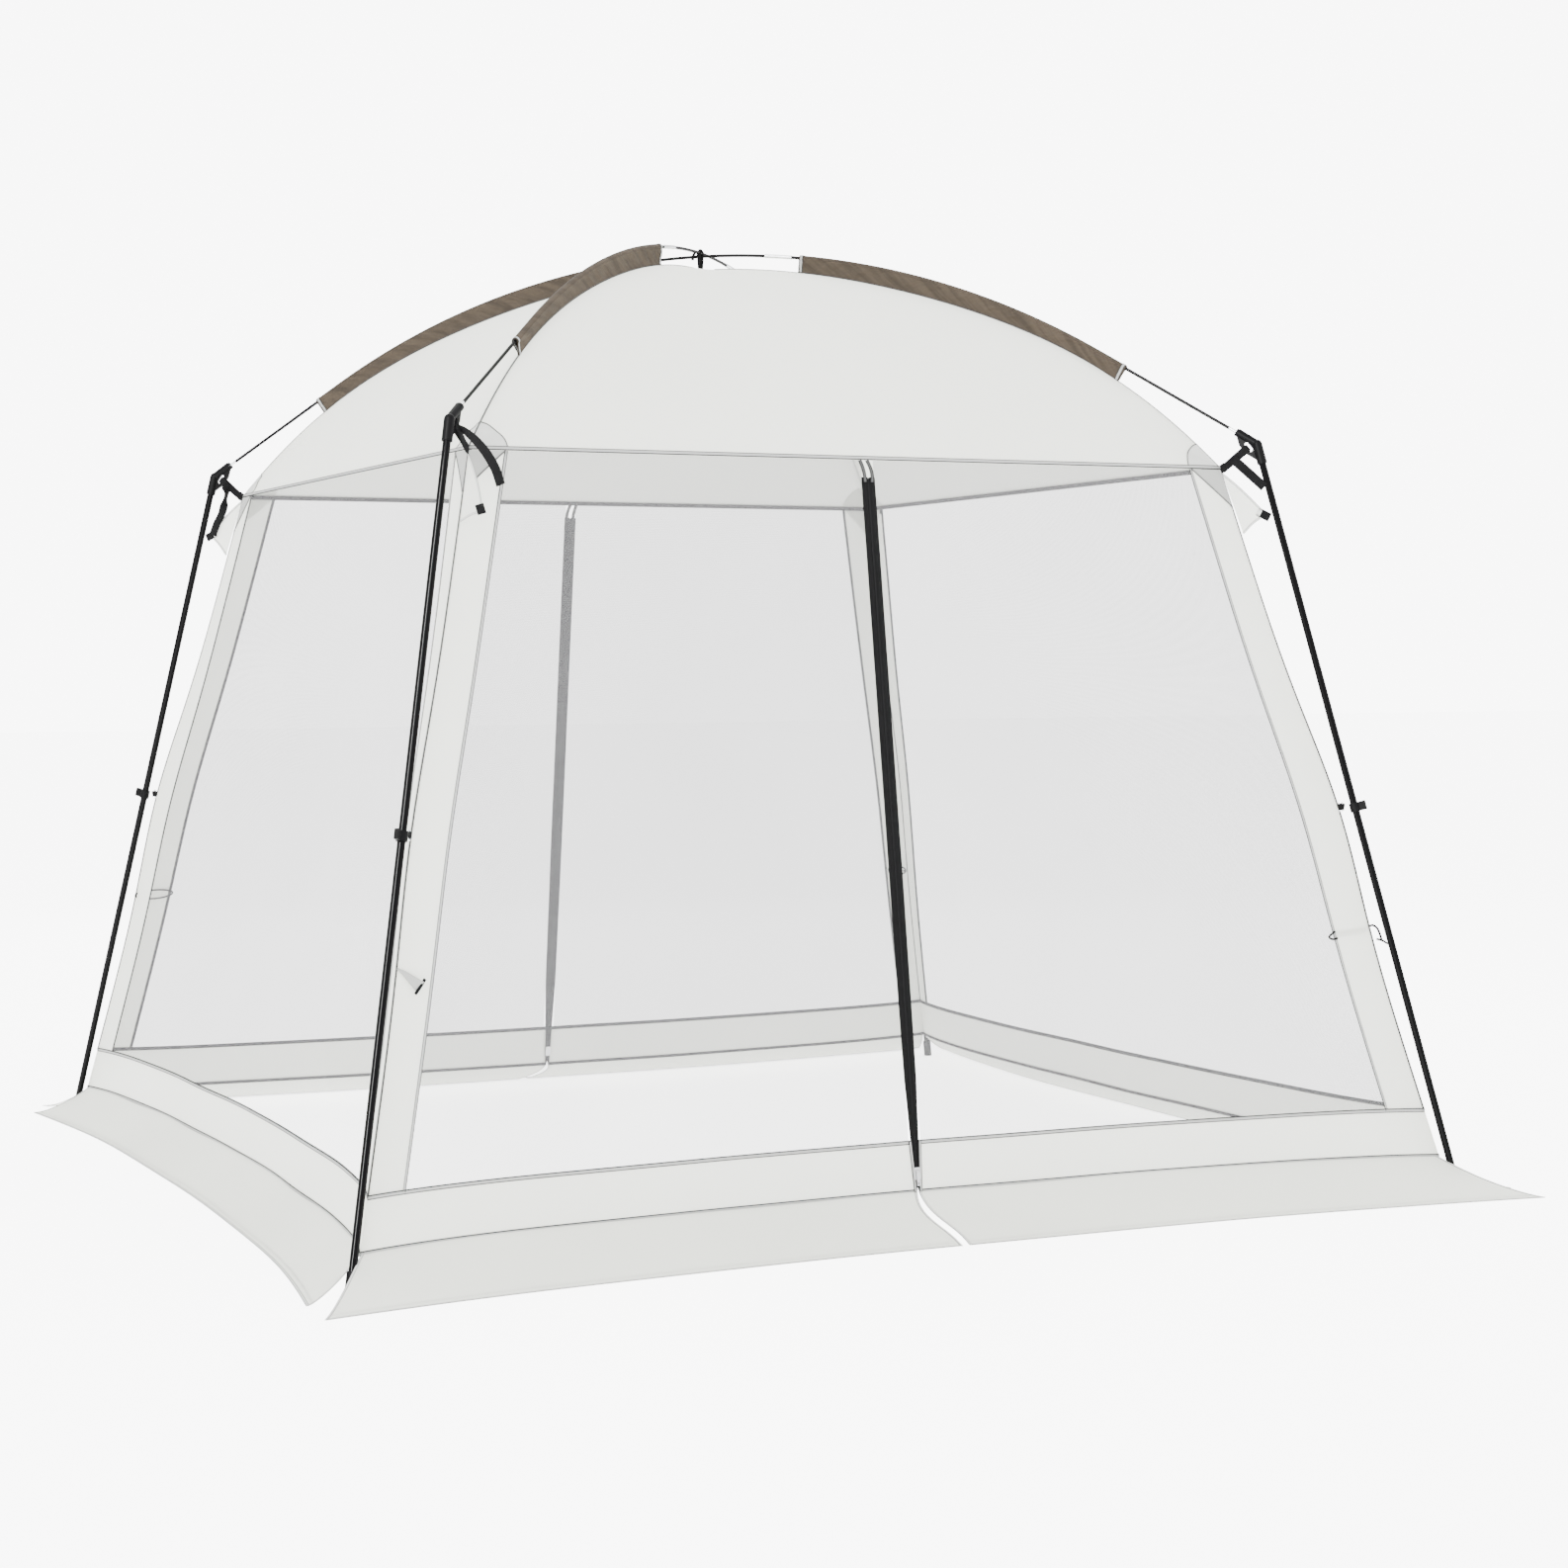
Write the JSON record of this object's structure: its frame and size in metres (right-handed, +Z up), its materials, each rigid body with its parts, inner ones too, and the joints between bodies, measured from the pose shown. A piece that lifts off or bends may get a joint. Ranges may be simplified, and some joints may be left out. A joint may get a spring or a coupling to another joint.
{
  "type": "screen house",
  "caption": "Square screen house: a domed cloth canopy on crossed poles and splayed legs, mesh walls with zipped doors front and back, and skirts spread on the ground.",
  "frame": {"origin": "on the ground under the crown, in the middle of the square of legs", "axes": "+Z up, the front door faces -Y, +X to the right of someone who faces the front door from outside"},
  "size_m": [3.24, 3.4, 2.566],
  "materials": {
    "black_webbing": "woven",
    "black_moulding": "satin",
    "black_steel_tube": "gloss powder coat",
    "black_fibreglass": "gloss",
    "silver_steel": "bright",
    "brown_cloth": "woven",
    "off_white_cloth": "woven polyester",
    "grey_mesh": "fine net",
    "black_zip_tape": "woven",
    "zip_metal": "plated"
  },
  "bodies": {
    "frame_and_walls": {"band_and_skirt_back_left": "off_white_cloth", "band_and_skirt_back_right": "off_white_cloth", "band_and_skirt_front_left": "off_white_cloth", "band_and_skirt_front_right": "off_white_cloth", "band_and_skirt_left": "off_white_cloth", "band_and_skirt_right": "off_white_cloth", "canopy_back": "off_white_cloth", "canopy_front": "off_white_cloth", "canopy_left": "off_white_cloth", "canopy_right": "off_white_cloth", "clip_straps": "black_webbing", "corner_panel_back_left": "off_white_cloth", "corner_panel_back_right": "off_white_cloth", "corner_panel_front_left": "off_white_cloth", "corner_panel_front_right": "off_white_cloth", "crown_tie": "black_webbing", "door_ties": "off_white_cloth", "foot_caps": "black_moulding", "guy_flaps": "off_white_cloth", "hub_back_left": "black_moulding", "hub_back_right": "black_moulding", "hub_front_left": "black_moulding", "hub_front_right": "black_moulding", "hub_straps": "black_webbing", "leg_clips": "black_moulding", "leg_lower_back_left": "black_steel_tube", "leg_lower_back_right": "black_steel_tube", "leg_lower_front_left": "black_steel_tube", "leg_lower_front_right": "black_steel_tube", "leg_upper_back_left": "black_steel_tube", "leg_upper_back_right": "black_steel_tube", "leg_upper_front_left": "black_steel_tube", "leg_upper_front_right": "black_steel_tube", "mesh_back_left": "grey_mesh", "mesh_back_right": "grey_mesh", "mesh_front_left": "grey_mesh", "mesh_front_right": "grey_mesh", "mesh_left": "grey_mesh", "mesh_right": "grey_mesh", "pole_ferrules": "silver_steel", "pole_sleeve_back_left": "brown_cloth", "pole_sleeve_back_right": "brown_cloth", "pole_sleeve_front_left": "brown_cloth", "pole_sleeve_front_right": "brown_cloth", "pole_tips": "silver_steel", "roof_pole_1_end_pair": "black_fibreglass", "roof_pole_1_inner_pair": "black_fibreglass", "roof_pole_1_outer_pair": "black_fibreglass", "roof_pole_2_end_pair": "black_fibreglass", "roof_pole_2_inner_pair": "black_fibreglass", "roof_pole_2_outer_pair": "black_fibreglass", "roof_pole_middles": "black_fibreglass"},
    "front_zip_slider": {"zip_slider_front": "zip_metal"},
    "front_zip_pull": {"zip_pull_front": "zip_metal"},
    "back_zip_slider": {"zip_slider_back": "zip_metal"},
    "back_zip_pull": {"zip_pull_back": "zip_metal"},
    "front_left_door_edge": {"zip_tape_front_left": "black_zip_tape"},
    "front_right_door_edge": {"zip_tape_front_right": "black_zip_tape"},
    "back_left_door_edge": {"zip_tape_back_left": "black_zip_tape"},
    "back_right_door_edge": {"zip_tape_back_right": "black_zip_tape"}
  },
  "joints": [
    {"name": "front_zip_slide", "type": "slide", "parent": "frame_and_walls", "child": "front_zip_slider", "axis": [0, 0.1448, 0.9895], "range_m": [0, 1.7]},
    {"name": "front_pull_swing", "type": "hinge", "parent": "front_zip_slider", "child": "front_zip_pull", "pos_m": [0, -1.32052, 0.13517], "axis": [-1, 0, 0], "range_deg": [0, 150]},
    {"name": "back_zip_slide", "type": "slide", "parent": "frame_and_walls", "child": "back_zip_slider", "axis": [0, -0.1448, 0.9895], "range_m": [0, 1.7]},
    {"name": "back_pull_swing", "type": "hinge", "parent": "back_zip_slider", "child": "back_zip_pull", "pos_m": [0, 1.32052, 0.13517], "axis": [1, 0, 0], "range_deg": [0, 150]},
    {"name": "front_left_door_swing", "type": "hinge", "parent": "frame_and_walls", "child": "front_left_door_edge", "pos_m": [-0.0085, -1.05841, 1.868], "axis": [0, 0.9895, -0.1448], "range_deg": [0, 36], "deforming": ["mesh_front_left", "band_and_skirt_front_left"]},
    {"name": "front_right_door_swing", "type": "hinge", "parent": "frame_and_walls", "child": "front_right_door_edge", "pos_m": [0.0085, -1.05841, 1.868], "axis": [0, -0.9895, 0.1448], "range_deg": [0, 36], "deforming": ["mesh_front_right", "band_and_skirt_front_right"]},
    {"name": "back_left_door_swing", "type": "hinge", "parent": "frame_and_walls", "child": "back_left_door_edge", "pos_m": [-0.0085, 1.05841, 1.868], "axis": [0, 0.9895, 0.1448], "range_deg": [0, 36], "deforming": ["mesh_back_left", "band_and_skirt_back_left"]},
    {"name": "back_right_door_swing", "type": "hinge", "parent": "frame_and_walls", "child": "back_right_door_edge", "pos_m": [0.0085, 1.05841, 1.868], "axis": [0, -0.9895, -0.1448], "range_deg": [0, 36], "deforming": ["mesh_back_right", "band_and_skirt_back_right"]}
  ]
}
